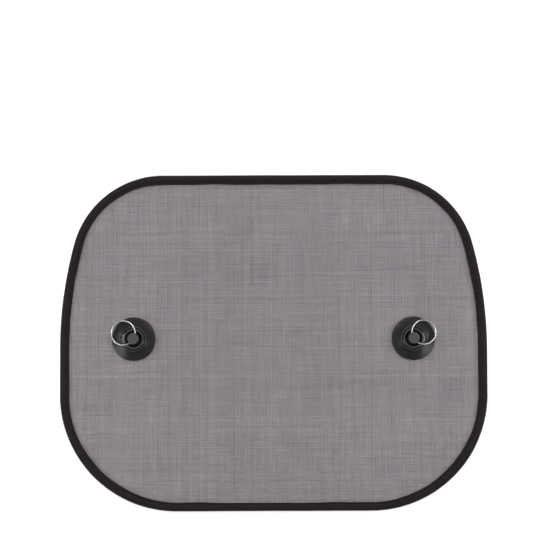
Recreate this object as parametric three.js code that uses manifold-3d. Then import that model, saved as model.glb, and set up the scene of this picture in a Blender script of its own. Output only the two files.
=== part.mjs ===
// Side window sunshade: mesh cloth bound over a spring steel hoop, with two suction cups on split rings.
// Millimetres, +Z up. It lies flat, with +X to its right and +Y towards its top edge.
// The origin is under the middle of its outline, on the surface that it lies on.
import * as THREE from 'three';
import { mergeVertices } from 'three/addons/utils/BufferGeometryUtils.js';
import Module from 'manifold-3d';

const wasm = await Module();
wasm.setup();

// Outline at the outer edge of the binding
const shadeWidth = 440;
const shadeHeight = 346;
const upperCornerRadius = 95;
const lowerCornerRadius = 120;
const flankRadius = 420;
const flankAngle = THREE.MathUtils.degToRad(15);

// Steel hoop and the sleeve that joins its ends
const hoopWire = 1.8;
const hoopEndGap = 1;
const sleeveWall = 0.4;
const sleeveClearance = 0.2;
const sleeveLength = 16;

// Mesh cloth and the tape folded over the hoop and over the cloth's edge
const meshThickness = 0.45;
const meshColumns = 12;
const meshRows = 9;
const meshRib = 10.5;
const meshBorder = 3;
const tapeThickness = 0.55;
const pocketWidth = 7;
const pocketShoulder = 2.4;
const pocketSideFlat = 0.7;
const flangeWidth = 2.4;
const pocketClearance = 0.2;
const sewnClearance = 0.2;
const meshTuckIn = 1.9;
const cutOvershoot = 1;

// Suction cups
const cupFromSide = 76;
const cupRise = 3.5;
const cupRadius = 22.5;
const rimThickness = 0.9;
const rimLand = 1.4;
const hollowDepth = 2.2;
const hollowRoofRadius = 12.5;
const skirtRootHeight = 3.8;
const skirtDip = 0.4;
const outerBeadRadius = 12.6;
const innerBeadRadius = 9.9;
const beadHeight = 6.4;
const beadWidth = 2;
const grooveDepth = 0.8;
const wellRadius = 8.3;
const wellFloor = 3.2;
const wellFootRadius = 7.6;
const wellCornerRound = 0.7;
const neckRadius = 4;
const headRadius = 5.9;
const headThickness = 2.2;
const headEdgeRound = 0.5;
const crossHoleHeight = 9.1;
const headAboveCrossHole = 2.7;
const boreOvershoot = 1;
const cupClearance = 0.3;

// Split rings, each two turns of one wire
const ringWire = 1.3;
const ringRadius = 12.5;
const turnClearance = 0.06;
const ringHoleClearance = 0.25;
const ringRestClearance = 0.3;
const ringHeading = THREE.MathUtils.degToRad(30);
const wireEndAngle = THREE.MathUtils.degToRad(30);
const crossoverAngle = THREE.MathUtils.degToRad(25);
const splitAngle = THREE.MathUtils.degToRad(60);

// How finely round shapes are divided
const outlineSegments = 6;
const pocketBevelSegments = 3;
const hollowBevelSegments = 2;
const cupSegments = 36;
const profileSegments = 3;
const hoopSteps = 84;
const hoopSides = 6;
const ringSteps = 66;
const ringSides = 8;
const boreSides = 16;

// Sizes worked out from those above
const sleeveBore = hoopWire + 2 * sleeveClearance;
const sleeveDiameter = sleeveBore + 2 * sleeveWall;
const pocketInside = sleeveDiameter + 2 * pocketClearance;
const pocketHeight = pocketInside + 2 * tapeThickness;
const slotHeight = meshThickness + 2 * sewnClearance;
const flangeHeight = slotHeight + 2 * tapeThickness;
const bindingWidth = pocketWidth + flangeWidth;
const middleHeight = pocketHeight / 2;
const hoopInset = tapeThickness + pocketClearance + sleeveDiameter / 2;
const cupBase = middleHeight + meshThickness / 2 + cupClearance;
const cupFromMiddle = shadeWidth / 2 - cupFromSide;
const headUnderside = crossHoleHeight + headAboveCrossHole;
const headTop = headUnderside + headThickness;
const turnPitch = ringWire + turnClearance;
const turnsHalfHeight = (turnPitch + ringWire) / 2;
const neckSagitta = ringRadius - Math.sqrt(ringRadius ** 2 - neckRadius ** 2);
const ringCentre = ringRadius - neckSagitta / 2;
const crossHoleRadius = Math.hypot(turnPitch / 2, neckSagitta / 2) + ringWire / 2 + ringHoleClearance;

// The ring rests on the outer bead, where the two circles cross as seen from above.
const beadCrossing = (ringCentre ** 2 + outerBeadRadius ** 2 - ringRadius ** 2) / (2 * ringCentre);
const ringDrop = crossHoleHeight - beadHeight - ringRestClearance - turnsHalfHeight;
const ringTilt = Math.atan2(ringDrop, beadCrossing);

// The shade's outline, drawn in from its outer edge by an inset. It starts at the middle of the bottom.
function outline(inset) {
  const side = shadeWidth / 2 - inset;
  const edge = shadeHeight / 2 - inset;
  const upper = upperCornerRadius - inset;
  const lower = lowerCornerRadius - inset;
  const flank = flankRadius - inset;
  const upperX = side - flank + (flank - upper) * Math.cos(flankAngle);
  const flankY = edge - upper - (flank - upper) * Math.sin(flankAngle);
  const shape = new THREE.Shape();
  shape.moveTo(0, -edge);
  shape.lineTo(side - lower, -edge);
  shape.absarc(side - lower, lower - edge, lower, -Math.PI / 2, 0);
  shape.lineTo(side, flankY);
  shape.absarc(side - flank, flankY, flank, 0, flankAngle);
  shape.absarc(upperX, edge - upper, upper, flankAngle, Math.PI / 2);
  shape.lineTo(-upperX, edge);
  shape.absarc(-upperX, edge - upper, upper, Math.PI / 2, Math.PI - flankAngle);
  shape.absarc(flank - side, flankY, flank, Math.PI - flankAngle, Math.PI);
  shape.lineTo(-side, lower - edge);
  shape.absarc(lower - side, lower - edge, lower, Math.PI, 1.5 * Math.PI);
  shape.closePath();
  return shape;
}

// A closed geometry as a solid for cutting and joining.
function solidOf(geometry) {
  const bare = geometry.clone();
  bare.deleteAttribute('normal');
  bare.deleteAttribute('uv');
  const merged = mergeVertices(bare, 1e-4);
  const corners = merged.index.array;
  const kept = [];
  for (let i = 0; i < corners.length; i += 3) {
    const [a, b, c] = [corners[i], corners[i + 1], corners[i + 2]];
    if (a !== b && b !== c && c !== a) kept.push(a, b, c);
  }
  return new wasm.Manifold(new wasm.Mesh({
    numProp: 3,
    vertProperties: new Float32Array(merged.attributes.position.array),
    triVerts: new Uint32Array(kept),
  }));
}

// A cut or joined solid as a geometry again.
function geometryOf(solid) {
  const { vertProperties, triVerts } = solid.getMesh();
  const geometry = new THREE.BufferGeometry();
  geometry.setAttribute('position', new THREE.BufferAttribute(new Float32Array(vertProperties), 3));
  geometry.setIndex(new THREE.BufferAttribute(new Uint32Array(triVerts), 1));
  geometry.computeVertexNormals();
  return geometry;
}

// A flat ring that follows the outline between two insets, centred on the cloth, with rounded edges.
function outlineBand(outerInset, innerInset, height, shoulder = 0, rounding = 0, bevelSegments = 1) {
  const shape = outline(outerInset);
  shape.holes.push(outline(innerInset));
  const geometry = new THREE.ExtrudeGeometry(shape, {
    depth: height - 2 * rounding,
    curveSegments: outlineSegments,
    bevelEnabled: rounding > 0,
    bevelSize: shoulder,
    bevelOffset: -shoulder,
    bevelThickness: rounding,
    bevelSegments,
  });
  geometry.translate(0, 0, middleHeight - height / 2 + rounding);
  return geometry;
}

// The tape: a hollow pocket round the hoop, and two flanges with the cloth's edge between them.
function bindingGeometry() {
  const rounding = (pocketHeight - pocketSideFlat) / 2;
  const wall = tapeThickness;
  const pocket = outlineBand(0, pocketWidth, pocketHeight, pocketShoulder, rounding, pocketBevelSegments);
  const hollow = outlineBand(wall, pocketWidth - wall, pocketInside,
    pocketShoulder - wall, rounding - wall, hollowBevelSegments);
  const flange = outlineBand(pocketWidth - pocketShoulder, bindingWidth, flangeHeight);
  const slot = outlineBand(pocketWidth - pocketShoulder, bindingWidth + cutOvershoot, slotHeight);
  return geometryOf(solidOf(pocket).add(solidOf(flange)).subtract(solidOf(hollow)).subtract(solidOf(slot)));
}

// Everything inside the outline at an inset, as a flat sheet centred on the cloth.
function outlineSheet(inset, height) {
  const geometry = new THREE.ExtrudeGeometry(outline(inset), {
    depth: height,
    curveSegments: outlineSegments,
    bevelEnabled: false,
  });
  return geometry.translate(0, 0, middleHeight - height / 2);
}

// The cloth: one thin wall with a plain grid of openings, which stands for its see-through weave.
// An opening at the rounded corners is cut short there, and left out where less than half of it is inside.
function meshClothGeometry() {
  const openInset = bindingWidth + meshBorder;
  const cutHeight = meshThickness + 2 * cutOvershoot;
  const pitchX = (shadeWidth - 2 * openInset) / meshColumns;
  const pitchY = (shadeHeight - 2 * openInset) / meshRows;
  const inside = solidOf(outlineSheet(openInset, cutHeight));
  let cloth = solidOf(outlineSheet(bindingWidth - meshTuckIn, meshThickness));
  for (let column = 0; column < meshColumns; column++) {
    for (let row = 0; row < meshRows; row++) {
      const box = new THREE.BoxGeometry(pitchX - meshRib, pitchY - meshRib, cutHeight);
      const [acrossX, upY] = [column - (meshColumns - 1) / 2, row - (meshRows - 1) / 2];
      box.translate(acrossX * pitchX, upY * pitchY, middleHeight);
      const whole = solidOf(box);
      const opening = whole.intersect(inside);
      if (opening.volume() > whole.volume() / 2) cloth = cloth.subtract(opening);
    }
  }
  return geometryOf(cloth);
}

// A round section, for wire.
function wireSection(diameter) {
  return new THREE.Shape().absarc(0, 0, diameter / 2, 0, 2 * Math.PI);
}

// The hoop's centre line: once round the outline, open by a small gap inside the sleeve.
const hoopOutline = outline(hoopInset);
const hoopGapShare = hoopEndGap / hoopOutline.getLength();

class HoopLine extends THREE.Curve {
  getPoint(t) {
    const { x, y } = hoopOutline.getPointAt(hoopGapShare / 2 + t * (1 - hoopGapShare));
    return new THREE.Vector3(x, y, middleHeight);
  }
}

function hoopGeometry() {
  return new THREE.ExtrudeGeometry(wireSection(hoopWire), {
    steps: hoopSteps,
    curveSegments: hoopSides / 2,
    extrudePath: new HoopLine(),
  });
}

// The crimped sleeve over the hoop's two ends, at the middle of the bottom edge.
function sleeveGeometry() {
  const profile = [
    new THREE.Vector2(sleeveBore / 2, -sleeveLength / 2),
    new THREE.Vector2(sleeveDiameter / 2, -sleeveLength / 2),
    new THREE.Vector2(sleeveDiameter / 2, sleeveLength / 2),
    new THREE.Vector2(sleeveBore / 2, sleeveLength / 2),
    new THREE.Vector2(sleeveBore / 2, -sleeveLength / 2),
  ];
  const geometry = new THREE.LatheGeometry(profile, boreSides);
  return geometry.rotateZ(Math.PI / 2).translate(0, hoopInset - shadeHeight / 2, middleHeight);
}

// The cup's half section, from the middle of its hollow out to the rim and back in to the head's face.
function cupProfile() {
  const path = new THREE.Path();
  const hollowRadius = cupRadius - rimLand;
  const grooveRadius = (outerBeadRadius + innerBeadRadius) / 2;
  const skirtRoot = outerBeadRadius + beadWidth / 2;
  path.moveTo(0, hollowDepth);
  path.quadraticCurveTo(hollowRoofRadius, hollowDepth, hollowRadius, 0);
  path.lineTo(cupRadius, 0);
  path.lineTo(cupRadius, rimThickness);
  path.quadraticCurveTo((cupRadius + skirtRoot) / 2, (rimThickness + skirtRootHeight) / 2 - skirtDip,
    skirtRoot, skirtRootHeight);
  path.quadraticCurveTo(skirtRoot, beadHeight, outerBeadRadius, beadHeight);
  path.quadraticCurveTo(grooveRadius, beadHeight, grooveRadius, beadHeight - grooveDepth);
  path.quadraticCurveTo(grooveRadius, beadHeight, innerBeadRadius, beadHeight);
  path.quadraticCurveTo(wellRadius, beadHeight, wellRadius, beadHeight - grooveDepth);
  path.quadraticCurveTo(wellFootRadius, wellFloor, neckRadius + wellCornerRound, wellFloor);
  path.lineTo(neckRadius, wellFloor + wellCornerRound);
  path.lineTo(neckRadius, headUnderside - headEdgeRound);
  path.lineTo(neckRadius + headEdgeRound, headUnderside);
  path.lineTo(headRadius - headEdgeRound, headUnderside);
  path.quadraticCurveTo(headRadius, headUnderside, headRadius, headUnderside + headEdgeRound);
  path.lineTo(headRadius, headTop - headEdgeRound);
  path.quadraticCurveTo(headRadius, headTop, headRadius - headEdgeRound, headTop);
  path.lineTo(0, headTop);
  return path.getPoints(profileSegments);
}

// One cup, standing on its rim, with its cross-hole along Y.
function cupGeometry() {
  const cup = new THREE.LatheGeometry(cupProfile(), cupSegments).rotateX(Math.PI / 2);
  const boreLength = 2 * (neckRadius + boreOvershoot);
  const bore = new THREE.CylinderGeometry(crossHoleRadius, crossHoleRadius, boreLength, boreSides);
  bore.translate(0, 0, crossHoleHeight);
  return geometryOf(solidOf(cup).subtract(solidOf(bore)));
}

// The split ring's centre line: a lower turn, a crossover, and an upper turn, round its own centre.
class SplitRingLine extends THREE.Curve {
  getPoint(t) {
    const turned = wireEndAngle + t * (4 * Math.PI - 2 * wireEndAngle);
    const across = (turned - 2 * Math.PI) / crossoverAngle;
    const layer = THREE.MathUtils.smoothstep(across, -1, 1) - 0.5;
    const angle = splitAngle + turned;
    return new THREE.Vector3(ringRadius * Math.cos(angle), ringRadius * Math.sin(angle), layer * turnPitch);
  }
}

// One ring in the cup's frame: through the cross-hole, and lying on the outer bead towards +X.
function ringGeometry() {
  const geometry = new THREE.ExtrudeGeometry(wireSection(ringWire), {
    steps: ringSteps,
    curveSegments: ringSides / 2,
    extrudePath: new SplitRingLine(),
  });
  return geometry.translate(ringCentre, 0, 0).rotateY(ringTilt).translate(0, 0, crossHoleHeight);
}

const meshCloth = new THREE.MeshStandardMaterial({ color: 0x3a363a, roughness: 0.85, metalness: 0 });
const blackTape = new THREE.MeshStandardMaterial({ color: 0x1c1a1c, roughness: 0.8, metalness: 0 });
const springSteel = new THREE.MeshStandardMaterial({ color: 0x9a9ca0, roughness: 0.4, metalness: 1 });
const blackVinyl = new THREE.MeshStandardMaterial({ color: 0x141414, roughness: 0.35, metalness: 0 });
const platedSteel = new THREE.MeshStandardMaterial({ color: 0xd2d3d5, roughness: 0.2, metalness: 1 });

function piece(name, geometry, material) {
  const mesh = new THREE.Mesh(geometry, material);
  mesh.name = name;
  return mesh;
}

const sunshade = new THREE.Group();
sunshade.add(piece('mesh_panel', meshClothGeometry(), meshCloth));
sunshade.add(piece('edge_binding', bindingGeometry(), blackTape));
sunshade.add(piece('spring_hoop', hoopGeometry(), springSteel));
sunshade.add(piece('hoop_ferrule', sleeveGeometry(), springSteel));

for (const [name, sign] of [['left', -1], ['right', 1]]) {
  const corner = new THREE.Group();
  corner.position.set(sign * cupFromMiddle, cupRise, cupBase);
  corner.rotation.z = sign > 0 ? ringHeading : Math.PI - ringHeading;
  corner.add(piece(`${name}_suction_cup`, cupGeometry(), blackVinyl));
  corner.add(piece(`${name}_split_ring`, ringGeometry(), platedSteel));
  sunshade.add(corner);
}

export default sunshade;
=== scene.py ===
"""Side window sunshade: dark mesh cloth in a bound spring hoop, with two suction cups on split rings."""
import math
import random

import bpy
import numpy as np
from bpy.props import FloatProperty, FloatVectorProperty, PointerProperty
from mathutils import Matrix, Vector


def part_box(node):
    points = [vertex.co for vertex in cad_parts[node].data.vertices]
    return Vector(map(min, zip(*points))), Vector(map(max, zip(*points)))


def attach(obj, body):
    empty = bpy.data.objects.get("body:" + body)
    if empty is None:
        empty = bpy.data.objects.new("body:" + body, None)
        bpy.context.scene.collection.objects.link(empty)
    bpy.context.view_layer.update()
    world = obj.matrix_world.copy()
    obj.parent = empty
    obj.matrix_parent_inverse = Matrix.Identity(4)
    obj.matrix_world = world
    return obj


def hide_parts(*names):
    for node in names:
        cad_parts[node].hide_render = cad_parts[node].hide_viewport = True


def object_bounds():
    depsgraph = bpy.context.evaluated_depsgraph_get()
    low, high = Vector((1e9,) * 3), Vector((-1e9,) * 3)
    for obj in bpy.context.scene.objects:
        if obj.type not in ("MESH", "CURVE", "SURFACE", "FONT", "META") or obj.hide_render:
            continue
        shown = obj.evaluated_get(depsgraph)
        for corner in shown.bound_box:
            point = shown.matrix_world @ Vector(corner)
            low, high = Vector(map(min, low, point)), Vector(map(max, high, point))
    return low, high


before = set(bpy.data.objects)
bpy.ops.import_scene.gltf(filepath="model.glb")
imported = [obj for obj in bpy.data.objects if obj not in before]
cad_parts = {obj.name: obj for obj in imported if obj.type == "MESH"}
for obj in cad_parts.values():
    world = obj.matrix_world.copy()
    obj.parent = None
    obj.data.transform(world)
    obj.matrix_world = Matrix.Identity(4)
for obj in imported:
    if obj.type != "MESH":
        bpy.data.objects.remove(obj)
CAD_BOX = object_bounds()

bl_info = {
    "name": "Window Sunshade",
    "version": (1, 0, 0),
    "blender": (4, 5, 0),
    "location": "View3D > Sidebar > Sunshade",
    "description": "Dresses the side window sunshade: mesh cloth, bound edge, suction cups and split rings",
    "category": "Object",
}

MM = 0.001
SIDES = {"left": -1, "right": 1}

# A Mix node's sockets for colours, by their order, because those for numbers have the same names.
MIX_SHARE, MIX_FIRST, MIX_SECOND, MIX_RESULT = 0, 6, 7, 2

# The cloth's layers: the axis that its threads run along, the steps of each thread, the first of its two
# drifts, and its seed.
THREAD_LAYERS = ((1, 24, 0, 3), (0, 30, 2, 4))
DRIFT_SEEDS = (11, 12, 13, 14)
DRIFT_WAVES = (1, 2, 3, 5)
UNEVEN_BETWEEN = 0.5  # how much of the threads' unevenness is from one to the next
UNEVEN_ALONG = 0.85  # and how much of it is along each of them

# The tape, where waves are counted once round the shade.
TAPE_SECTIONS = 880
TURN_POINTS = 15  # round half of the pocket
FLAT_POINTS = 5  # across the flange
RIPPLE_WAVES = range(90, 150, 7)
SWELL_WAVES = (5, 9, 14, 23)
SWELL_SIDEWAYS, SWELL_UPWARDS = 0.6, 0.5
WANDER_WAVES = (3, 7, 11, 19, 31)
BOTTOM_REACH = 0.07  # share of the way round in which the narrower flange at the bottom widens again

# The stitches, in stitch lengths along and in thread diameters across.
STITCH_COVER = 0.86
STITCH_CUTS = (0, -0.3, 0.3)
STITCH_SINK, STITCH_LIFT = 0.9, 0.2
STITCH_BELLY, STITCH_TAPER = 1.25, 0.45

CUP_STEPS = 96
HOLE_SIDES = 40
WIRE_STEPS = 150


def size(name, description, millimetres):
    """A length that is written in millimetres and kept in metres."""
    return FloatProperty(name=name, description=description, default=millimetres * MM, unit="LENGTH")


def angle(name, description, degrees):
    return FloatProperty(name=name, description=description, default=math.radians(degrees), subtype="ANGLE")


def colour(name, description, rgb):
    return FloatVectorProperty(
        name=name, description=description, default=(*rgb, 1.0), size=4, min=0, max=1, subtype="COLOR"
    )


class OutlineSizes(bpy.types.PropertyGroup):
    """The shade's outline, at the outer edge of its binding. Its width and height come from the frame."""

    upper_corner: size("Upper corner radius", "Radius of the two upper corners", 95)
    lower_corner: size("Lower corner radius", "Radius of the two lower corners", 120)
    flank: size("Flank radius", "Radius of the gently curved upper part of each side", 420)
    flank_turn: angle("Flank angle", "How far each flank turns before the upper corner starts", 15)


class ClothSizes(bpy.types.PropertyGroup):
    """The see-through mesh cloth."""

    pitch: size("Thread pitch", "Distance from one thread to the next", 0.95)
    width: size("Thread width", "Width of a thread as it lies in the cloth", 0.315)
    thickness: size("Thread thickness", "Thickness of a flattened thread", 0.2)
    slub: FloatProperty(name="Slub", description="Unevenness of the threads", default=0.15, min=0, max=0.5)
    stray: size("Stray", "How far a thread strays from its even place", 0.05)
    drift: size("Drift", "How far the weave is drawn out of line by its sewing", 0.25)
    thread: colour("Thread", "Colour of the cloth's threads", (0.07, 0.046, 0.064))


class BindingSizes(bpy.types.PropertyGroup):
    """The tape that is folded over the hoop and the cloth's edge, and sewn down."""

    tape: size("Tape thickness", "Thickness of the woven tape", 0.55)
    pocket: size("Pocket width", "Width of the pocket round the hoop", 7)
    flange: size("Flange width", "Width of the sewn flange inside the pocket", 2.4)
    flange_height: size("Flange height", "Both layers of tape with the cloth between them", 1.95)
    edge_wander: size("Edge wander", "How far the flange's inner edge strays", 0.3)
    bottom_draw: size("Bottom draw", "How much narrower the flange is at the middle of the bottom", 1.1)
    pucker: size("Pucker", "Height of the small ripples that the sewing draws into the tape", 0.09)
    weave: size("Tape weave", "Distance between the yarns of the tape", 0.62)
    stitch: size("Stitch length", "Distance from one needle hole to the next", 3.1)
    stitch_thread: size("Sewing thread", "Diameter of the sewing thread", 0.36)
    stitch_inset: size("Stitch inset", "From the flange's inner edge out to the stitches", 0.8)
    cloth: colour("Tape", "Colour of the tape", (0.007, 0.0045, 0.0063))
    # Painted shade: this darker colour on the flange stands in for the shadow of the raised pocket beside it.
    flange_shade_colour: colour("Sewn tape", "Colour of the pressed tape on the flange", (0.004, 0.0025, 0.0035))
    sewing: colour("Sewing thread colour", "Colour of the sewing thread", (0.009, 0.007, 0.0085))


class CupSizes(bpy.types.PropertyGroup):
    """One suction cup, as its half section. Its place, outer radius and height come from the frame."""

    rim: size("Rim thickness", "Thickness of the skirt at its rim", 0.9)
    land: size("Rim land", "Width of the flat ring that touches the glass", 1.4)
    hollow: size("Hollow depth", "Depth of the hollow under the skirt", 2.2)
    hollow_roof: size("Hollow roof radius", "How far out the hollow stays deep", 12.5)
    skirt_root: size("Skirt root height", "Height of the skirt where it meets the hub", 3.8)
    skirt_dip: size("Skirt dip", "How far the skirt dips below a straight cone", 0.4)
    outer_bead: size("Outer bead radius", "Radius of the hub's outer bead", 12.6)
    inner_bead: size("Inner bead radius", "Radius of the hub's inner bead", 9.9)
    bead_height: size("Bead height", "Height of both beads", 6.4)
    bead_width: size("Bead width", "Width of both beads", 2)
    groove: size("Groove depth", "Depth of the groove between the beads", 0.8)
    chamfer: size("Chamfer width", "Width of the inner bead's sloping outer wall", 1.75)
    well: size("Well radius", "Radius of the dished well round the neck", 8.3)
    well_floor: size("Well floor", "Height of the well's floor", 3.2)
    well_foot: size("Well foot", "How far out the well's wall starts to slope in", 7.6)
    well_round: size("Well corner", "Rounding at the foot of the neck", 0.7)
    neck: size("Neck radius", "Radius of the neck", 4)
    head: size("Head radius", "Radius of the flat head", 5.9)
    head_thickness: size("Head thickness", "Thickness of the head", 2.2)
    head_round: size("Head rounding", "Rounding of the head's edges", 0.5)
    hole: size("Cross-hole radius", "Radius of the hole that the ring runs through", 1.65)
    hole_height: size("Cross-hole height", "Height of the hole's axis over the rim", 9.1)
    vinyl: colour("Vinyl", "Colour of the skirt and hub", (0.009, 0.008, 0.009))
    # Painted reflection: the head face's lighter grey stands in for the bright room reflected in the flat top
    # of the same black vinyl.
    matt: colour("Matt vinyl", "Colour of the head's matt face", (0.04, 0.04, 0.04))


class RingSizes(bpy.types.PropertyGroup):
    """One split ring: two turns of wire."""

    wire: size("Wire", "Diameter of the wire", 1.3)
    radius: size("Ring radius", "Radius of the wire's centre line", 12.5)
    gap: size("Turn gap", "Gap between the two turns", 0.06)
    rest: size("Rest clearance", "Gap between the ring and the bead that it rests on", 0.3)
    heading: angle("Heading", "How far the ring points up from the cup's outer side", 30)
    wire_end: angle("Wire end", "From the split to each end of the wire", 30)
    crossover: angle("Crossover", "Half the angle over which the wire climbs to its second turn", 25)
    split: angle("Split", "Where the split is, from the ring's outermost point", 60)
    nickel: colour("Nickel", "Colour of the plating", (0.5, 0.5, 0.49))
    steel: colour("Spring steel", "Colour of the hoop and its ferrule", (0.55, 0.56, 0.58))


class StageSizes(bpy.types.PropertyGroup):
    """The floor, the lamps and the camera."""

    elevation: angle("Elevation", "How high over the floor the camera stands", 86)
    roll: angle("Roll", "How far the camera is turned about its line of sight", -0.2)
    distance: size("Distance", "From the camera to the cloth", 2200)
    frame_width: size("Frame width", "Width of the picture at the cloth", 568)
    aim_right: size("Aim right", "Middle of the picture, right of the shade's middle", 1.7)
    aim_up: size("Aim up", "Middle of the picture, above the shade's middle", 69.4)
    sky: FloatProperty(name="Sky", description="Strength of the even light from all round", default=0.36)
    overhead: FloatProperty(name="Overhead", description="Brightness of the lamp above", default=3.6)
    flank: FloatProperty(name="Flank lamps", description="Brightness of the soft side lamps", default=2.8)
    strip: FloatProperty(name="Strip lamps", description="Brightness of the narrow side lamps", default=20)
    back: FloatProperty(name="Back lamp", description="Brightness of the lamp behind the top edge", default=5)
    glow: FloatProperty(name="Glow", description="Brightness added where the floor is seen", default=0.07)
    floor: colour("Floor", "Colour of the floor", (0.9, 0.9, 0.9))


GROUPS = {
    "outline": OutlineSizes,
    "cloth": ClothSizes,
    "binding": BindingSizes,
    "cup": CupSizes,
    "ring": RingSizes,
    "stage": StageSizes,
}


def sizes(group):
    """The settings of one group, as the sidebar shows them."""
    return getattr(bpy.context.scene, f"sunshade_{group}")


class Field:
    """A shader socket, which Python's operators extend with Math nodes."""

    def __init__(self, finish, socket):
        self.finish, self.socket = finish, socket

    def math(self, operation, *values):
        """A Math node on this field and the values after it, where None stands for this field."""
        given = values if None in values else (None, *values)
        inputs = {i: self if value is None else value for i, value in enumerate(given)}
        return self.finish.node("ShaderNodeMath", {"operation": operation}, inputs)

    def __add__(self, other):
        return self.math("ADD", other)

    def __sub__(self, other):
        return self.math("SUBTRACT", other)

    def __rsub__(self, other):
        return self.math("SUBTRACT", other, None)

    def __mul__(self, other):
        return self.math("MULTIPLY", other)

    def __truediv__(self, other):
        return self.math("DIVIDE", other)

    __radd__ = __add__
    __rmul__ = __mul__

    def step(self, low, high):
        """From 0 at low to 1 at high, smoothly."""
        settings = {"interpolation_type": "SMOOTHSTEP"}
        inputs = {"Value": self, "From Min": low, "From Max": high}
        return self.finish.node("ShaderNodeMapRange", settings, inputs)


class Finish:
    """A material with one Principled BSDF, and its node tree."""

    def __init__(self, name, **constants):
        self.material = bpy.data.materials.new(name)
        self.material.use_nodes = True
        self.tree = self.material.node_tree
        self.shader = self.tree.nodes["Principled BSDF"]
        for socket, value in constants.items():
            self.set(socket.replace("_", " "), value)

    def feed(self, socket, value):
        if isinstance(value, Field):
            self.tree.links.new(value.socket, socket)
        else:
            socket.default_value = value

    def set(self, name, value):
        """Feeds a socket of the Principled BSDF."""
        self.feed(self.shader.inputs[name], value)

    def node(self, kind, settings=None, inputs=None, output=0):
        """Adds a node, with its settings first and then the values or links of its sockets."""
        made = self.tree.nodes.new(kind)
        for name, value in (settings or {}).items():
            setattr(made, name, value)
        for socket, value in (inputs or {}).items():
            self.feed(made.inputs[socket], value)
        return Field(self, made.outputs[output])

    def place(self, centre=(0, 0, 0)):
        """Object coordinates, counted from a point."""
        inputs = {"Vector": self.node("ShaderNodeTexCoord", output="Object"), "Location": centre}
        return self.node("ShaderNodeMapping", {"vector_type": "TEXTURE"}, inputs)

    def parts(self, vector):
        """A vector's X, Y and Z."""
        split = self.node("ShaderNodeSeparateXYZ", inputs={"Vector": vector}).socket.node
        return [Field(self, output) for output in split.outputs]

    def vector(self, x=0.0, y=0.0, z=0.0):
        return self.node("ShaderNodeCombineXYZ", inputs={"X": x, "Y": y, "Z": z})

    def noise(self, vector, scale, detail=2.0, roughness=0.5):
        inputs = {"Vector": vector, "Scale": scale, "Detail": detail, "Roughness": roughness}
        return self.node("ShaderNodeTexNoise", inputs=inputs, output="Fac")

    def mix(self, share, first, second):
        """From the first colour to the second one."""
        inputs = {MIX_SHARE: share, MIX_FIRST: first, MIX_SECOND: second}
        return self.node("ShaderNodeMix", {"data_type": "RGBA"}, inputs, MIX_RESULT)

    def bump(self, height, distance, strength=1.0):
        """Raises the surface by a height from 0 to 1 of that distance."""
        inputs = {"Height": height, "Distance": distance, "Strength": strength}
        self.set("Normal", self.node("ShaderNodeBump", inputs=inputs))


def shaded(rgba, share):
    """A colour made lighter or darker by a share."""
    return (*(min(1.0, c * share) for c in rgba[:3]), 1.0)


def thread_finish():
    """The mesh cloth's yarn: dull, and a little lighter or darker from thread to thread."""
    finish = Finish("mesh_yarn", Roughness=0.85, Sheen_Weight=0.15, Sheen_Roughness=0.5)
    tone = finish.node("ShaderNodeAttribute", {"attribute_name": "tone"}, output="Fac")
    yarn = sizes("cloth").thread
    finish.set("Base Color", finish.mix(tone, shaded(yarn, 0.7), shaded(yarn, 1.35)))
    return finish.material


def tape_finish():
    """Woven tape: yarns along and across it, with a slightly uneven dye, and painted shade that darkens the
    flange beside the pocket.
    """
    s = sizes("binding")
    finish = Finish("woven_tape", Sheen_Weight=0.05, Sheen_Roughness=0.45, Specular_IOR_Level=0.15)
    along, across, _ = finish.parts(finish.node("ShaderNodeUVMap", {"uv_map": "UVMap"}))
    turns = 2 * math.pi / s.weave
    warp = (across * turns).math("SINE") * 0.5 + 0.5
    weft = (along * turns + (across * (turns / 2)).math("SINE")).math("SINE") * 0.5 + 0.5
    weave = warp * weft
    dye = finish.noise(finish.place(), 55, detail=3)
    lint = finish.noise(finish.place(), 900, detail=2, roughness=0.6)
    light = weave * 0.45 + dye * 0.45 + lint * 0.25
    # Painted shade: the flange next to the raised pocket gets a darker base colour, as if shaded by the
    # pocket.
    sewn = 1 - across.step(s.flange * 0.6, s.flange * 1.5)
    tone = finish.mix(light, shaded(s.cloth, 0.5), shaded(s.cloth, 1.7))
    finish.set("Base Color", finish.mix(sewn, tone, s.flange_shade_colour[:]))
    finish.set("Roughness", 0.82 - dye * 0.2)
    finish.bump(weave + lint * 0.35, 0.12 * MM)
    return finish.material


def sewing_finish():
    """Twisted sewing thread, a little brighter than the tape."""
    s = sizes("binding")
    finish = Finish("sewing_thread", Roughness=0.65, Specular_IOR_Level=0.2)
    fibres = finish.noise(finish.place(), 2600, detail=2)
    finish.set("Base Color", finish.mix(fibres, shaded(s.sewing, 0.6), shaded(s.sewing, 1.4)))
    return finish.material


def steel_finish():
    """Drawn spring steel wire, with faint marks along it."""
    finish = Finish("spring_steel", Metallic=1.0)
    grain = finish.noise(finish.place(), 700, detail=3)
    steel = sizes("ring").steel
    finish.set("Base Color", finish.mix(grain, shaded(steel, 0.85), shaded(steel, 1.1)))
    finish.set("Roughness", 0.3 + grain * 0.2)
    return finish.material


def nickel_finish():
    """Bright nickel plating over drawn wire."""
    finish = Finish("bright_nickel", Metallic=1.0)
    grain = finish.noise(finish.place(), 1100, detail=2)
    haze = finish.noise(finish.place(), 160, detail=2)
    nickel = sizes("ring").nickel
    finish.set("Base Color", finish.mix(haze, shaded(nickel, 0.92), shaded(nickel, 1.05)))
    finish.set("Roughness", 0.16 + haze * 0.12 + grain * 0.05)
    finish.bump(grain, 0.01 * MM)
    return finish.material


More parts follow.
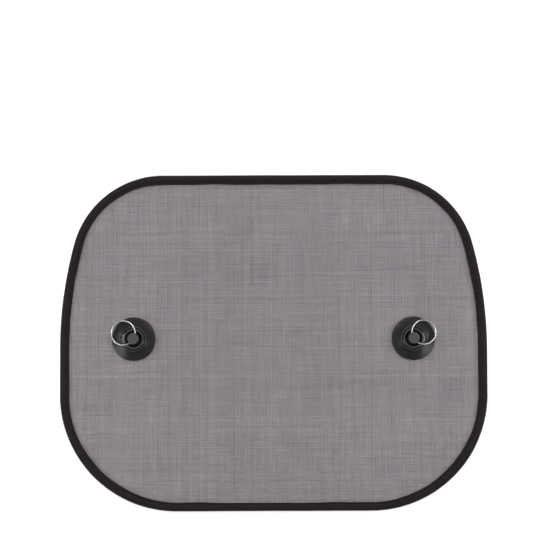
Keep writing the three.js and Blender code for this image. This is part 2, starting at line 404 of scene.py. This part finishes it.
def vinyl_finish(side, foot, face):
    """Glossy moulded vinyl with faint flow marks out from its foot's middle, and a matt face on the head
    whose lighter grey is a painted reflection.
    """
    s = sizes("cup")
    finish = Finish(f"{side}_cup_vinyl", Specular_IOR_Level=0.28, Coat_Roughness=0.12)
    x, y, height = finish.parts(finish.place(foot[:]))
    out = (x * x + y * y).math("SQRT")
    round_x, round_y = x / (out + 0.01 * MM), y / (out + 0.01 * MM)
    flow = finish.noise(finish.vector(round_x, round_y, out * 9.0), 24, detail=3)
    fine = finish.noise(finish.vector(round_x, round_y, out * 4.0), 90, detail=2)
    mottle = finish.noise(finish.place(), 420, detail=2)
    on_skirt = out.step(s.outer_bead, s.outer_bead + s.bead_width)
    on_face = height.step(face - 0.12 * MM, face - 0.02 * MM) * (1 - out.step(s.head * 0.93, s.head))
    gloss = finish.mix(flow * 0.6 + mottle * 0.4, shaded(s.vinyl, 0.7), shaded(s.vinyl, 1.4))
    # Painted reflection: the head's flat face gets a lighter grey base colour. Its higher roughness is the
    # real matt finish.
    finish.set("Base Color", finish.mix(on_face, gloss, s.matt[:]))
    streaks = (flow - 0.5) * 0.16 + (fine - 0.5) * 0.1
    finish.set("Roughness", 0.17 + on_skirt * (streaks + 0.06) + mottle * 0.04 + on_face * 0.53)
    finish.set("Coat Weight", 0.1 * (1 - on_face))
    finish.bump(flow * on_skirt * 0.6 + fine * on_skirt * 0.4 + mottle * 0.04, 0.06 * MM, strength=0.5)
    return finish.material


def floor_finish():
    """Pale floor, lit by the lamps, and lifted a little where the camera or a shiny piece sees it."""
    finish = Finish("pale_floor", Roughness=0.9, Specular_IOR_Level=0.1)
    paper = finish.noise(finish.place(), 3, detail=2)
    s = sizes("stage")
    finish.set("Base Color", finish.mix(paper, shaded(s.floor, 0.995), shaded(s.floor, 1.005)))
    rays = finish.node("ShaderNodeLightPath").socket.node
    kinds = ("Camera", "Glossy", "Transmission")
    camera, glossy, through = (Field(finish, rays.outputs[f"Is {kind} Ray"]) for kind in kinds)
    finish.set("Emission Color", (camera + glossy + through).math("MINIMUM", 1.0) * s.glow)
    finish.set("Emission Strength", 1.0)
    return finish.material


def deselect():
    bpy.ops.object.select_all(action="DESELECT")


def finished(piece, name, material, body):
    """Names a piece, puts its place into its mesh, and gives it its finish, slot and body."""
    deselect()
    piece.select_set(True)
    bpy.context.view_layer.objects.active = piece
    bpy.ops.object.transform_apply(location=True, rotation=True, scale=True)
    piece.name = piece.data.name = name
    piece.data.materials.clear()
    piece.data.materials.append(material)
    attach(piece, body)
    return piece


def apply_modifier(piece, kind, **settings):
    bpy.context.view_layer.objects.active = piece
    modifier = piece.modifiers.new(kind.title(), kind)
    for name, value in settings.items():
        setattr(modifier, name, value)
    bpy.ops.object.modifier_apply(modifier=modifier.name)


def smooth(piece, degrees):
    """Smooth shading, apart from edges that are sharper than that angle."""
    deselect()
    piece.select_set(True)
    bpy.context.view_layer.objects.active = piece
    bpy.ops.object.shade_smooth_by_angle(angle=math.radians(degrees))


def cloth_object(name, corners, faces, uv):
    """A piece of cloth from arrays: its corners, its faces of four corners, and their places on the map."""
    mesh = bpy.data.meshes.new(name)
    mesh.from_pydata(corners.reshape(-1, 3).tolist(), [], faces.reshape(-1, 4).tolist())
    layer = mesh.uv_layers.new(name="UVMap")
    layer.data.foreach_set("uv", uv.astype(np.float32).ravel())
    piece = bpy.data.objects.new(name, mesh)
    bpy.context.scene.collection.objects.link(piece)
    return piece


def closed_waves(seed, counts, height):
    """A smooth uneven function of the share of the way round, from whole numbers of waves, about so high."""
    draw = random.Random(seed)
    waves = [(count, draw.uniform(0, 2 * math.pi), draw.uniform(0.6, 1)) for count in counts]
    total = math.sqrt(sum(weight**2 for _, _, weight in waves))

    def at(share):
        return height / total * sum(w * np.sin(2 * np.pi * n * share + phase) for n, phase, w in waves)

    return at


def straight(start, end, inward):
    """Places and inward directions along a straight run, a quarter of a millimetre apart."""
    start, end = np.array(start), np.array(end)
    share = np.linspace(0, 1, 2 + int(np.linalg.norm(end - start) / (MM / 4)))[:, None]
    return np.hstack([start + share * (end - start), np.tile(inward, (len(share), 1))])


def arc(middle, radius, first, last):
    """The same along an arc, from one angle to another."""
    turn = np.linspace(first, last, 2 + int(radius * abs(last - first) / (MM / 4)))
    out = np.stack([np.cos(turn), np.sin(turn)], 1)
    return np.hstack([np.array(middle) + radius * out, -out])


class Outline:
    """The shade's outer edge, from the middle of its bottom, with the direction inwards at each place."""

    def __init__(self):
        s = sizes("outline")
        _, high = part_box("edge_binding")
        side, edge = high.x, high.y
        upper_x = side - s.flank + (s.flank - s.upper_corner) * math.cos(s.flank_turn)
        flank_y = edge - s.upper_corner - (s.flank - s.upper_corner) * math.sin(s.flank_turn)
        lower_x, lower_y = side - s.lower_corner, s.lower_corner - edge
        half = np.vstack([
            straight((0, -edge), (lower_x, -edge), (0, 1)),
            arc((lower_x, lower_y), s.lower_corner, -math.pi / 2, 0),
            straight((side, lower_y), (side, flank_y), (-1, 0)),
            arc((side - s.flank, flank_y), s.flank, 0, s.flank_turn),
            arc((upper_x, edge - s.upper_corner), s.upper_corner, s.flank_turn, math.pi / 2),
            straight((upper_x, edge), (0, edge), (0, -1)),
        ])
        line = np.vstack([half, half[::-1] * (-1, 1, -1, 1)])
        steps = np.linalg.norm(np.diff(line[:, :2], axis=0), axis=1)
        kept = np.concatenate([[True], steps > 1e-9])
        self.line = line[kept]
        self.run = np.concatenate([[0], np.cumsum(steps[kept[1:]])])
        self.length = float(self.run[-1])

    def at(self, shares):
        """Places and inward directions at shares of the way round."""
        found = np.stack([np.interp(shares * self.length, self.run, column) for column in self.line.T], 1)
        place, inward = found[:, :2], found[:, 2:]
        return place, inward / np.linalg.norm(inward, axis=1)[:, None]

    def inset(self, distance):
        """The closed line that runs that far inside."""
        return self.line[:, :2] + distance * self.line[:, 2:]

    def span(self, distance, axis, at):
        """Where a line across the inset outline, at places along an axis, goes in and comes out."""
        line = self.inset(distance)
        other = 1 - axis
        found = []
        for chosen in (line[:, other] < 0, line[:, other] >= 0):
            chain = line[chosen]
            chain = chain[np.argsort(chain[:, axis])]
            found.append(np.interp(at, chain[:, axis], chain[:, other]))
        return found


def thread_layer(along, at, ends, height, steps, waviness, seed):
    """Threads along one axis, as corner places, faces and the tone at each corner."""
    s = sizes("cloth")
    draw = np.random.default_rng(seed)
    count = len(at)
    between = UNEVEN_BETWEEN * draw.normal(size=(count, 1))
    uneven = between + UNEVEN_ALONG * draw.normal(size=(count, steps + 1))
    width = s.width * (1 + s.slub * uneven.clip(-2.5, 2.5))
    share = np.linspace(0, 1, steps + 1)
    run = ends[0][:, None] + (ends[1] - ends[0])[:, None] * share
    centre = np.zeros((count, steps + 1, 3))
    centre[..., along] = run
    centre[..., 1 - along] = (at + s.stray * draw.normal(size=count).clip(-2, 2))[:, None]
    centre[..., 1 - along] += waviness(centre[..., 0], centre[..., 1])
    centre[..., 2] = height
    corners = np.repeat(centre[:, :, None, :], 4, axis=2)
    turn = ((-1, -1), (1, -1), (1, 1), (-1, 1)) if along == 1 else ((1, -1), (-1, -1), (-1, 1), (1, 1))
    for corner, (sideways, upwards) in enumerate(turn):
        corners[:, :, corner, 1 - along] += sideways * width / 2
        corners[:, :, corner, 2] += upwards * s.thickness / 2
    first = np.arange(count)[:, None, None] * (steps + 1) * 4 + np.arange(steps)[None, :, None] * 4
    side = np.arange(4)
    walls = np.stack([first + side, first + (side + 1) % 4, first + (side + 1) % 4 + 4, first + side + 4], -1)
    start = np.arange(count)[:, None] * (steps + 1) * 4
    caps = np.concatenate([start + side[::-1], start + steps * 4 + side])
    return corners, np.concatenate([walls.reshape(-1, 4), caps]), np.repeat(uneven.ravel(), 4)


class SUNSHADE_OT_mesh_cloth(bpy.types.Operator):
    """Lay the mesh cloth from two layers of real threads, cut to the outline inside the binding"""

    bl_idname = "sunshade.mesh_cloth"
    bl_label = "Mesh cloth"

    def execute(self, context):
        s = sizes("cloth")
        outline = Outline()
        low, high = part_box("mesh_panel")
        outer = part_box("edge_binding")[1]
        inset = outer.x - high.x
        middle = (low.z + high.z) / 2
        drifts = [closed_waves(seed, DRIFT_WAVES, s.drift / 2) for seed in DRIFT_SEEDS]

        def waviness(x, y, first):
            across, up = x / (high.x - low.x) + 0.5, y / (high.y - low.y) + 0.5
            return drifts[first](across) * np.cos(np.pi * (up - 0.5)) + drifts[first + 1](up)

        layers = []
        for along, steps, first, seed in THREAD_LAYERS:
            reach = high[1 - along] - s.pitch
            at = np.arange(-reach, reach, s.pitch)
            ends = outline.span(inset, 1 - along, at)
            height = middle + (s.thickness / 2 if along == 1 else -s.thickness / 2)
            layers.append(
                thread_layer(along, at, ends, height, steps, lambda x, y, n=first: waviness(x, y, n), seed)
            )
        corners = np.concatenate([layer[0].reshape(-1, 3) for layer in layers])
        split = len(layers[0][0].reshape(-1, 3))
        faces = np.concatenate([layers[0][1], layers[1][1] + split])
        tone = np.concatenate([layer[2] for layer in layers])
        spread = np.array([high.x - low.x, high.y - low.y])
        flat = (corners[:, :2] / spread + 0.5).clip(0, 1) * (0.5, 1)
        flat[split:, 0] += 0.5
        cloth = cloth_object("mesh_cloth", corners, faces, flat[faces.ravel()])
        tones = cloth.data.attributes.new("tone", "FLOAT", "POINT")
        tones.data.foreach_set("value", (tone / 4 + 0.5).clip(0, 1).astype(np.float32))
        cloth.data.shade_smooth()
        finished(cloth, "mesh_cloth", thread_finish(), "shade")
        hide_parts("mesh_panel")
        return {"FINISHED"}


def flange_edge(share):
    """How far the flange's inner edge strays towards the hoop, round the shade."""
    s = sizes("binding")
    wander = closed_waves(seed=21, counts=WANDER_WAVES, height=s.edge_wander)(share)
    from_bottom = np.minimum(share, 1 - share)
    return wander + s.bottom_draw * np.exp(-((from_bottom / BOTTOM_REACH) ** 2))


class SUNSHADE_OT_edge_binding(bpy.types.Operator):
    """Fold the tape over the hoop and the cloth's edge, as one strip swept round the outline"""

    bl_idname = "sunshade.edge_binding"
    bl_label = "Edge binding"

    def execute(self, context):
        s = sizes("binding")
        outline = Outline()
        low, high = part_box("edge_binding")
        middle = (low.z + high.z) / 2
        count = TAPE_SECTIONS
        share = np.arange(count) / count
        place, inward = outline.at(share)
        half_width, half_height = (s.pocket - s.tape) / 2, (high.z - low.z - s.tape) / 2
        flange_level = (s.flange_height - s.tape) / 2
        start = math.asin(flange_level / half_height)
        turn = np.linspace(start, math.pi, TURN_POINTS)
        inner = s.pocket + s.flange
        joint = s.pocket / 2 + half_width * math.cos(start)
        flat = np.linspace(inner, joint, FLAT_POINTS)[:-1]
        upper = np.concatenate([
            np.stack([flat, np.full(len(flat), flange_level)], 1),
            np.stack([s.pocket / 2 + half_width * np.cos(turn), half_height * np.sin(turn)], 1),
        ])
        section = np.concatenate([upper, upper[-2::-1] * (1, -1)])
        across = len(section)
        on_flange = ((section[:, 0] - joint) / (inner - joint)).clip(0, 1)
        ripple = closed_waves(seed=31, counts=RIPPLE_WAVES, height=s.pucker)(share)
        swell = closed_waves(seed=32, counts=SWELL_WAVES, height=s.pucker)(share)
        sideways = SWELL_SIDEWAYS * swell[:, None] * (1 - on_flange)
        inset = section[:, 0] - on_flange * flange_edge(share)[:, None] + sideways
        bulge = np.sign(section[:, 1]) * np.abs(np.sin(np.linspace(0, 2 * np.pi, across)))
        height = section[:, 1] + bulge * (ripple + SWELL_UPWARDS * swell)[:, None]
        height = height.clip(-half_height, None)
        corners = np.zeros((count, across, 3))
        corners[..., :2] = place[:, None] + inward[:, None] * inset[..., None]
        corners[..., 2] = middle + height
        index = np.arange(count * across).reshape(count, across)
        after = np.roll(index, -1, axis=0)
        faces = np.stack([index[:, :-1], index[:, 1:], after[:, 1:], after[:, :-1]], -1)
        width = np.concatenate([[0], np.cumsum(np.linalg.norm(np.diff(section, axis=0), axis=1))])
        run = outline.length / count * np.arange(count + 1)
        u = np.stack([run[:-1], run[:-1], run[1:], run[1:]], -1)[:, None].repeat(across - 1, 1)
        v = np.stack([width[:-1], width[1:], width[1:], width[:-1]], -1)[None].repeat(count, 0)
        tape = cloth_object("edge_tape", corners, faces, np.stack([u, v], -1))
        deselect()
        apply_modifier(tape, "SOLIDIFY", thickness=s.tape, offset=0.0)
        tape.data.shade_smooth()
        finished(tape, "edge_tape", tape_finish(), "shade")
        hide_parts("edge_binding")
        return {"FINISHED"}


class SUNSHADE_OT_stitching(bpy.types.Operator):
    """Sew the tape down with a row of stitches on each face of the flange"""

    bl_idname = "sunshade.stitching"
    bl_label = "Stitching"

    def execute(self, context):
        s = sizes("binding")
        outline = Outline()
        low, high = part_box("edge_binding")
        middle = (low.z + high.z) / 2
        count = round(outline.length / s.stitch)
        share = (np.arange(count) + 0.5) / count
        place, inward = outline.at(share)
        row = s.pocket + s.flange - s.stitch_inset - flange_edge(share)
        deselect()
        seen = s.stitch * STITCH_COVER
        bpy.ops.mesh.primitive_cylinder_add(vertices=6, radius=s.stitch_thread / 2, depth=seen)
        pattern = bpy.context.active_object
        bpy.ops.object.mode_set(mode="EDIT")
        bpy.ops.mesh.select_all(action="SELECT")
        bpy.ops.transform.rotate(value=math.pi / 2, orient_axis="Y", center_override=(0, 0, 0))
        for cut in STITCH_CUTS:
            bpy.ops.mesh.select_all(action="SELECT")
            bpy.ops.mesh.bisect(plane_co=(cut * s.stitch, 0, 0), plane_no=(1, 0, 0))
        bpy.ops.object.mode_set(mode="OBJECT")
        for corner in pattern.data.vertices:
            reach = corner.co.x / (seen / 2)
            corner.co.z -= s.stitch_thread * STITCH_SINK * reach**4
            corner.co.y *= STITCH_BELLY - STITCH_TAPER * reach**2
        stitches = []
        for spot, inwards, inset in zip(place, inward, row):
            for face in (1, -1):
                x, y = spot + inwards * inset
                turn = Matrix.Rotation(math.atan2(inwards[1], inwards[0]) - math.pi / 2, 4, "Z")
                level = middle + face * (s.flange_height / 2 + s.stitch_thread * STITCH_LIFT)
                flip = Matrix.Rotation(0 if face > 0 else math.pi, 4, "X")
                stitch = bpy.data.objects.new("stitch", pattern.data.copy())
                stitch.data.transform(Matrix.Translation((x, y, level)) @ turn @ flip)
                bpy.context.scene.collection.objects.link(stitch)
                stitches.append(stitch)
        bpy.data.objects.remove(pattern)
        deselect()
        for stitch in stitches:
            stitch.select_set(True)
        bpy.context.view_layer.objects.active = stitches[0]
        bpy.ops.object.join()
        sewing = bpy.context.active_object
        sewing.data.shade_smooth()
        finished(sewing, "binding_stitches", sewing_finish(), "shade")
        return {"FINISHED"}


class SUNSHADE_OT_hoop(bpy.types.Operator):
    """Finish the spring steel hoop and the ferrule that joins its ends"""

    bl_idname = "sunshade.hoop"
    bl_label = "Hoop and ferrule"

    def execute(self, context):
        steel = steel_finish()
        for node in ("spring_hoop", "hoop_ferrule"):
            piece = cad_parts[node]
            piece.data.materials.clear()
            piece.data.materials.append(steel)
        return {"FINISHED"}


def curved(start, control, end, steps=8):
    """Points of a quadratic curve after its start."""
    shares = [(i + 1) / steps for i in range(steps)]
    start, control, end = Vector(start), Vector(control), Vector(end)
    return [(1 - t) ** 2 * start + 2 * t * (1 - t) * control + t**2 * end for t in shares]


def cup_section(radius, height):
    """The cup's half section as radius and height, from the middle of its hollow round to its head's face."""
    s = sizes("cup")
    groove = s.inner_bead + s.chamfer
    root = s.outer_bead + s.bead_width / 2
    low_groove = s.bead_height - s.groove
    under = height - s.head_thickness
    line = [Vector((0, s.hollow))]
    line += curved(line[-1], (s.hollow_roof, s.hollow), (radius - s.land, 0), 12)
    line += curved((radius - s.rim / 3, 0), (radius, 0), (radius, s.rim / 3), 3)
    line += curved((radius, s.rim * 0.67), (radius, s.rim), (radius - s.rim / 2, s.rim * 1.12), 3)
    dip = ((radius + root) / 2, (s.rim + s.skirt_root) / 2 - s.skirt_dip)
    line += curved(line[-1], dip, (root, s.skirt_root), 12)
    line += curved(line[-1], (root, s.bead_height), (s.outer_bead, s.bead_height), 6)
    line += curved(line[-1], (groove, s.bead_height), (groove, low_groove), 6)
    brow = s.chamfer * 0.15
    slope_top = Vector((s.inner_bead + brow, s.bead_height - s.groove * 0.08))
    line += [line[-1].lerp(slope_top, share) for share in (0.12, 0.5, 0.88)]
    line += curved(slope_top, (s.inner_bead, s.bead_height), (s.inner_bead - brow, s.bead_height), 3)
    line += curved(line[-1], (s.well, s.bead_height), (s.well, low_groove), 6)
    line += curved(line[-1], (s.well_foot, s.well_floor), (s.neck + s.well_round, s.well_floor), 10)
    line += curved(line[-1], (s.neck, s.well_floor), (s.neck, s.well_floor + s.well_round), 4)
    line += curved((s.neck, under - s.head_round), (s.neck, under), (s.neck + s.head_round, under), 3)
    line += curved((s.head - s.head_round, under), (s.head, under), (s.head, under + s.head_round), 4)
    line += curved((s.head, height - s.head_round), (s.head, height), (s.head - s.head_round, height), 5)
    return line + [Vector((s.head * 0.5, height)), Vector((0, height))]


def cup_place(side):
    """The middle of a cup's foot, its radius and its height, from the frame."""
    low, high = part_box(f"{side}_suction_cup")
    foot = Vector(((low.x + high.x) / 2, (low.y + high.y) / 2, low.z))
    return foot, (high.x - low.x) / 2, high.z - low.z


def ring_heading(sign):
    """The direction that a ring points in from its cup, as seen from above."""
    heading = sizes("ring").heading
    return heading if sign > 0 else math.pi - heading


def turned(section, centre, steps):
    """Extrudes one corner along a half section, and spins that line round the upright axis through centre."""
    deselect()
    bpy.ops.mesh.primitive_plane_add(size=MM, location=(centre.x, centre.y, centre.z + section[0].y))
    bpy.ops.object.mode_set(mode="EDIT")
    bpy.ops.mesh.merge(type="CENTER")
    for here, there in zip(section, section[1:]):
        step = (there.x - here.x, 0, there.y - here.y)
        bpy.ops.mesh.extrude_region_move(TRANSFORM_OT_translate={"value": step})
    bpy.ops.mesh.select_all(action="SELECT")
    bpy.ops.mesh.spin(steps=steps, angle=2 * math.pi, center=centre, axis=(0, 0, 1))
    bpy.ops.mesh.select_all(action="SELECT")
    bpy.ops.mesh.remove_doubles(threshold=0.001 * MM)
    bpy.ops.mesh.normals_make_consistent(inside=False)
    bpy.ops.object.mode_set(mode="OBJECT")
    return bpy.context.active_object


class SUNSHADE_OT_suction_cups(bpy.types.Operator):
    """Turn each suction cup from its half section, and bore the cross-hole through its neck"""

    bl_idname = "sunshade.suction_cups"
    bl_label = "Suction cups"

    def execute(self, context):
        s = sizes("cup")
        for side, sign in SIDES.items():
            foot, radius, height = cup_place(side)
            cup = turned(cup_section(radius, height), foot, CUP_STEPS)
            deselect()
            bpy.ops.mesh.primitive_cylinder_add(
                vertices=HOLE_SIDES, radius=s.hole, depth=2 * s.neck + 2 * MM,
                location=foot + Vector((0, 0, s.hole_height)), rotation=(math.pi / 2, 0, ring_heading(sign)),
            )
            drill = bpy.context.active_object
            apply_modifier(cup, "BOOLEAN", object=drill, operation="DIFFERENCE", solver="EXACT")
            bpy.data.objects.remove(drill)
            smooth(cup, degrees=40)
            finished(cup, f"{side}_cup", vinyl_finish(side, foot, height), "shade")
            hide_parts(f"{side}_suction_cup")
        return {"FINISHED"}


def ring_line():
    """The wire's centre line in the cup's frame: through the cross-hole, and lying on the outer bead."""
    s, cup = sizes("ring"), sizes("cup")
    pitch = s.wire + s.gap
    sagitta = s.radius - math.sqrt(s.radius**2 - cup.neck**2)
    centre = s.radius - sagitta / 2
    crossing = (centre**2 + cup.outer_bead**2 - s.radius**2) / (2 * centre)
    drop = cup.hole_height - cup.bead_height - s.rest - (pitch + s.wire) / 2
    tilt = Matrix.Rotation(math.atan2(drop, crossing), 4, "Y")
    lift = Matrix.Translation((0, 0, cup.hole_height))
    line = []
    for i in range(WIRE_STEPS + 1):
        turned_by = s.wire_end + i / WIRE_STEPS * (4 * math.pi - 2 * s.wire_end)
        across = (turned_by - 2 * math.pi) / s.crossover
        eased = min(1.0, max(0.0, (across + 1) / 2))
        layer = eased * eased * (3 - 2 * eased) - 0.5
        turn = s.split + turned_by
        spot = Vector((centre + s.radius * math.cos(turn), s.radius * math.sin(turn), layer * pitch))
        line.append(lift @ tilt @ spot)
    return line


class SUNSHADE_OT_split_rings(bpy.types.Operator):
    """Wind each split ring from two turns of wire through its cup's cross-hole"""

    bl_idname = "sunshade.split_rings"
    bl_label = "Split rings"

    def execute(self, context):
        s = sizes("ring")
        nickel = nickel_finish()
        for side, sign in SIDES.items():
            place = Matrix.Translation(cup_place(side)[0]) @ Matrix.Rotation(ring_heading(sign), 4, "Z")
            deselect()
            bpy.ops.curve.primitive_nurbs_path_add()
            wire = bpy.context.active_object
            wire.data.splines.clear()
            line = ring_line()
            spline = wire.data.splines.new("POLY")
            spline.points.add(len(line) - 1)
            for point, spot in zip(spline.points, line):
                point.co = (*(place @ spot), 1)
            wire.data.bevel_depth = s.wire / 2
            wire.data.bevel_resolution = 3
            wire.data.use_fill_caps = True
            bpy.ops.object.convert(target="MESH")
            ring = bpy.context.active_object
            bpy.ops.object.mode_set(mode="EDIT")
            bpy.ops.mesh.select_all(action="SELECT")
            bpy.ops.mesh.remove_doubles(threshold=0.001 * MM)
            bpy.ops.mesh.normals_make_consistent(inside=False)
            bpy.ops.object.mode_set(mode="OBJECT")
            smooth(ring, degrees=50)
            finished(ring, f"{side}_ring_wire", nickel, f"{side}_ring")
            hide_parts(f"{side}_split_ring")
        return {"FINISHED"}


def lamp(name, place, aim, width, depth, brightness):
    """A soft rectangular lamp whose surface is that bright, where a white sky is 1."""
    light = bpy.data.lights.new(name, "AREA")
    light.shape = "RECTANGLE"
    light.size, light.size_y = width, depth
    light.energy = brightness * math.pi * width * depth
    made = bpy.data.objects.new(name, light)
    bpy.context.scene.collection.objects.link(made)
    made.location = place
    made.rotation_euler = (Vector(aim) - Vector(place)).to_track_quat("-Z", "Y").to_euler()
    made.visible_camera = False


class SUNSHADE_OT_stage(bpy.types.Operator):
    """Lay the pale floor, hang the soft lamps and set up the camera above"""

    bl_idname = "sunshade.stage"
    bl_label = "Stage"

    def execute(self, context):
        s = sizes("stage")
        scene = context.scene
        deselect()
        bpy.ops.mesh.primitive_plane_add(size=12)
        floor = context.active_object
        floor.name = "floor"
        floor.data.materials.append(floor_finish())
        world = bpy.data.worlds.new("even_light")
        world.use_nodes = True
        world.node_tree.nodes["Background"].inputs["Color"].default_value = (1, 1, 1, 1)
        world.node_tree.nodes["Background"].inputs["Strength"].default_value = s.sky
        scene.world = world
        lamp("overhead_lamp", (0, 0.4, 2.6), (0, 0, 0), 1.6, 1.6, s.overhead)
        for side, sign in SIDES.items():
            foot = cup_place(side)[0]
            cup = (foot.x, foot.y, 0)
            lamp(f"{side}_lamp", (sign * 0.5, -0.22, 0.52), cup, 0.28, 0.34, s.flank)
            lamp(f"{side}_strip", (sign * 0.62, 0.02, 0.32), cup, 0.5, 0.06, s.strip)
        lamp("back_lamp", (0, 0.72, 0.3), (0, 0.17, 0), 1.0, 0.24, s.back)
        camera = bpy.data.cameras.new("camera")
        camera.lens = camera.sensor_width * s.distance / s.frame_width
        eye = bpy.data.objects.new("camera", camera)
        scene.collection.objects.link(eye)
        near_cloth = (CAD_BOX[0].z + CAD_BOX[1].z) / 8
        aim = Vector((s.aim_right, s.aim_up, near_cloth))
        back = Vector((0, -math.cos(s.elevation), math.sin(s.elevation)))
        eye.location = aim + back * s.distance
        look = (-back).to_track_quat("-Z", "Y").to_matrix().to_4x4()
        eye.rotation_euler = (look @ Matrix.Rotation(s.roll, 4, "Z")).to_euler()
        camera.clip_start, camera.clip_end = 0.01, 50
        scene.camera = eye
        scene.view_settings.view_transform = "Standard"
        return {"FINISHED"}


OPERATORS = (
    SUNSHADE_OT_mesh_cloth,
    SUNSHADE_OT_edge_binding,
    SUNSHADE_OT_stitching,
    SUNSHADE_OT_hoop,
    SUNSHADE_OT_suction_cups,
    SUNSHADE_OT_split_rings,
    SUNSHADE_OT_stage,
)


class SUNSHADE_PT_panel(bpy.types.Panel):
    """The sizes, colours and steps of the sunshade"""

    bl_idname = "SUNSHADE_PT_panel"
    bl_label = "Window Sunshade"
    bl_space_type = "VIEW_3D"
    bl_region_type = "UI"
    bl_category = "Sunshade"

    def draw(self, context):
        for group, kind in GROUPS.items():
            box = self.layout.box()
            box.label(text=group.title())
            for name in kind.__annotations__:
                box.prop(sizes(group), name)
        for operator in OPERATORS:
            self.layout.operator(operator.bl_idname)


CLASSES = (*GROUPS.values(), *OPERATORS, SUNSHADE_PT_panel)


def register():
    for kind in CLASSES:
        bpy.utils.register_class(kind)
    for group, kind in GROUPS.items():
        setattr(bpy.types.Scene, f"sunshade_{group}", PointerProperty(type=kind))


def unregister():
    for group in GROUPS:
        delattr(bpy.types.Scene, f"sunshade_{group}")
    for kind in reversed(CLASSES):
        bpy.utils.unregister_class(kind)


def main():
    register()
    bpy.ops.sunshade.mesh_cloth()
    bpy.ops.sunshade.edge_binding()
    bpy.ops.sunshade.stitching()
    bpy.ops.sunshade.hoop()
    bpy.ops.sunshade.suction_cups()
    bpy.ops.sunshade.split_rings()
    bpy.ops.sunshade.stage()


if __name__ == "__main__":
    main()
